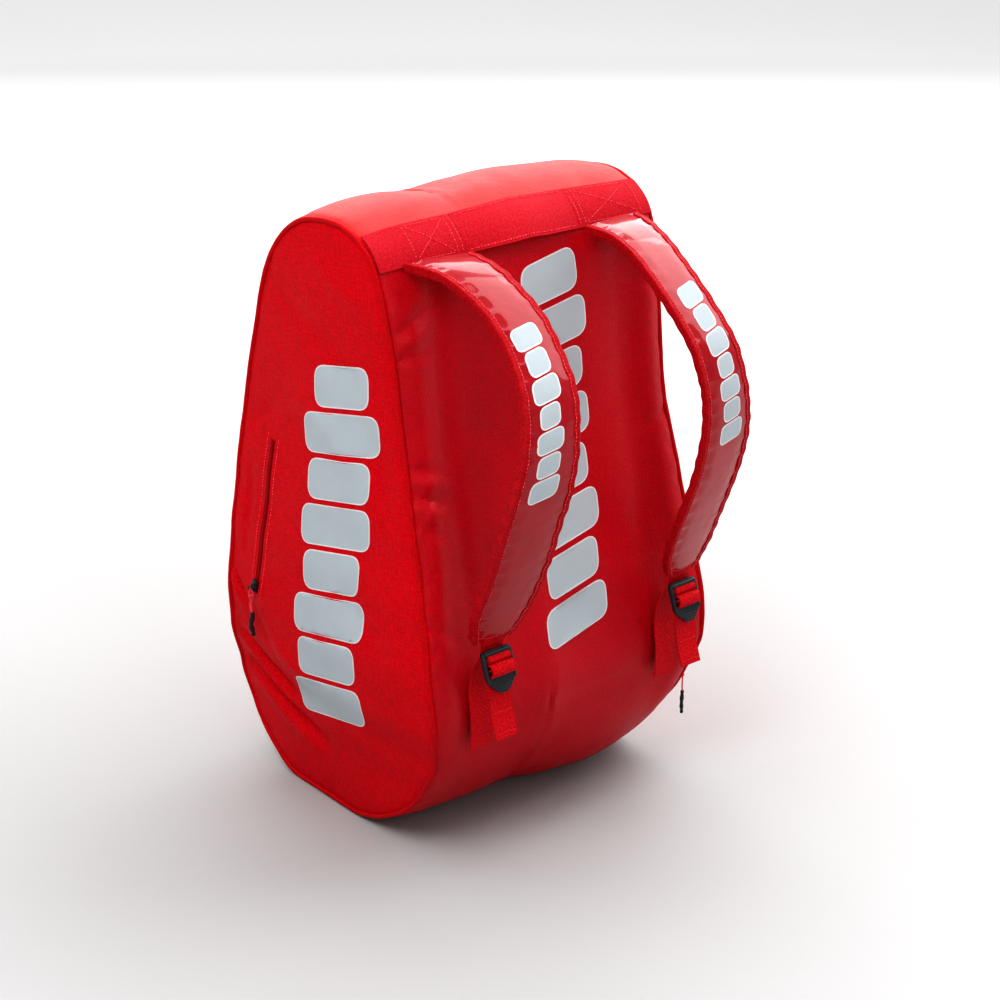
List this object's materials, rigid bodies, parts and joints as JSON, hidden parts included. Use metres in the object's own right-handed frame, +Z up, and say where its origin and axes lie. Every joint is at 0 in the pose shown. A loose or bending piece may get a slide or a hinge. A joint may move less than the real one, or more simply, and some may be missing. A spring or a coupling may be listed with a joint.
{
  "type": "racket tournament bag",
  "caption": "Backpack-style racket bag: teardrop body with piping, front and side zip doors, grab handle, two padded shoulder straps with ladder-lock buckles.",
  "frame": {"origin": "centre of the flat base on which the bag stands", "axes": "+Z up, -Y towards the wearer (shoulder-strap side), +X to the side with the racket door"},
  "size_m": [0.3662, 0.4214, 0.61],
  "materials": {
    "body_fabric": "coated polyester, soft satin sheen",
    "piping": "fabric-covered cord, satin",
    "zip_tape": "woven zip tape with nylon coil",
    "lining": "matt polyester lining",
    "board": "stiffener board",
    "webbing": "ribbed polyester webbing",
    "strap_gloss": "glossy coated face",
    "strap_padding": "air mesh over foam",
    "buckle_plastic": "moulded acetal, fine texture",
    "slider_metal": "black painted zinc",
    "pull_rubber": "moulded grip on a braided cord"
  },
  "bodies": {
    "root": {"base_panel": "body_fabric", "base_board": "board", "front_lower_panel": "body_fabric", "front_arch": "body_fabric", "front_zip": "zip_tape", "top_panel": "body_fabric", "back_panel": "body_fabric", "left_side_panel": "body_fabric", "right_side_sill": "body_fabric", "left_piping": "piping", "right_piping": "piping", "racket_zip": "zip_tape", "racket_divider": "lining", "organizer_pocket": "lining", "pocket_lining": "lining", "pocket_zip": "zip_tape", "band_left": "webbing", "band_right": "webbing", "left_lower_web": "webbing", "right_lower_web": "webbing"},
    "front_door": {"front_door": "body_fabric"},
    "side_door": {"right_side_door": "body_fabric"},
    "handle": {"grab_handle": "webbing"},
    "pocket_slider": {"pocket_slider": "slider_metal"},
    "pocket_pull": {"pocket_pull": "pull_rubber"},
    "racket_slider": {"racket_slider": "slider_metal"},
    "racket_pull": {"racket_pull": "pull_rubber"},
    "front_slider_left": {"front_slider_left": "slider_metal"},
    "front_pull_left": {"front_pull_left": "pull_rubber"},
    "front_slider_right": {"front_slider_right": "slider_metal"},
    "front_pull_right": {"front_pull_right": "pull_rubber"},
    "left_strap": {"left_strap_pad": "strap_padding", "left_strap_cover": "strap_gloss", "left_strap_loop": "webbing"},
    "left_lock": {"left_ladder_lock": "buckle_plastic"},
    "left_tail": {"left_web_tail": "webbing"},
    "right_strap": {"right_strap_pad": "strap_padding", "right_strap_cover": "strap_gloss", "right_strap_loop": "webbing"},
    "right_lock": {"right_ladder_lock": "buckle_plastic"},
    "right_tail": {"right_web_tail": "webbing"}
  },
  "joints": [
    {"name": "front_door_swing", "type": "hinge", "parent": "root", "child": "front_door", "pos_m": [0, 0.14768, 0.12], "axis": [-1, 0, 0], "range_deg": [0, 100]},
    {"name": "side_door_swing", "type": "hinge", "parent": "root", "child": "side_door", "pos_m": [0.16395, -0.01, 0.08], "axis": [0, 1, 0], "range_deg": [0, 90]},
    {"name": "handle_lift", "type": "slide", "parent": "root", "child": "handle", "axis": [0, -0.6763, 0.7366], "range_m": [0, 0.015]},
    {"name": "pocket_slider_slide", "type": "slide", "parent": "root", "child": "pocket_slider", "axis": [0.065, -0.1445, 0.9874], "range_m": [0, 0.12]},
    {"name": "pocket_pull_swing", "type": "hinge", "parent": "pocket_slider", "child": "pocket_pull", "pos_m": [-0.1839, 0.08835, 0.20806], "axis": [0, 1, 0], "range_deg": [0, 120]},
    {"name": "racket_slider_slide", "type": "slide", "parent": "root", "child": "racket_slider", "axis": [0.2168, -0.2819, 0.9346], "range_m": [0, 0.044]},
    {"name": "racket_pull_swing", "type": "hinge", "parent": "racket_slider", "child": "racket_pull", "pos_m": [0.16981, -0.16194, 0.10377], "axis": [0, -1, 0], "range_deg": [0, 120]},
    {"name": "front_slider_left_slide", "type": "slide", "parent": "front_door", "child": "front_slider_left", "axis": [-1, 0, 0], "range_m": [0, 0.05]},
    {"name": "front_pull_left_swing", "type": "hinge", "parent": "front_slider_left", "child": "front_pull_left", "pos_m": [-0.01, 0.06814, 0.56457], "axis": [1, 0, 0], "range_deg": [0, 110]},
    {"name": "front_slider_right_slide", "type": "slide", "parent": "front_door", "child": "front_slider_right", "axis": [1, 0, 0], "range_m": [0, 0.05]},
    {"name": "front_pull_right_swing", "type": "hinge", "parent": "front_slider_right", "child": "front_pull_right", "pos_m": [0.01, 0.06814, 0.56457], "axis": [1, 0, 0], "range_deg": [0, 110]},
    {"name": "left_strap_swing", "type": "hinge", "parent": "root", "child": "left_strap", "pos_m": [-0.103, -0.112, 0.572], "axis": [-1, 0, 0], "range_deg": [-3, 4], "deforming": ["left_lower_web"]},
    {"name": "left_lock_tilt", "type": "hinge", "parent": "left_strap", "child": "left_lock", "pos_m": [-0.117, -0.20827, 0.22635], "axis": [-1, 0, 0], "range_deg": [0, 30]},
    {"name": "left_tail_slide", "type": "slide", "parent": "left_lock", "child": "left_tail", "axis": [0, -0.3387, -0.9409], "range_m": [-0.015, 0.012]},
    {"name": "right_strap_swing", "type": "hinge", "parent": "root", "child": "right_strap", "pos_m": [0.103, -0.112, 0.572], "axis": [-1, 0, 0], "range_deg": [-3, 4], "deforming": ["right_lower_web"]},
    {"name": "right_lock_tilt", "type": "hinge", "parent": "right_strap", "child": "right_lock", "pos_m": [0.117, -0.20827, 0.22635], "axis": [-1, 0, 0], "range_deg": [0, 30]},
    {"name": "right_tail_slide", "type": "slide", "parent": "right_lock", "child": "right_tail", "axis": [0, -0.3387, -0.9409], "range_m": [-0.015, 0.012]}
  ],
  "couplings": [
    {"joint": "left_tail_slide", "follows": "left_strap_swing", "m_per_rad": -0.206},
    {"joint": "right_tail_slide", "follows": "right_strap_swing", "m_per_rad": -0.206}
  ]
}
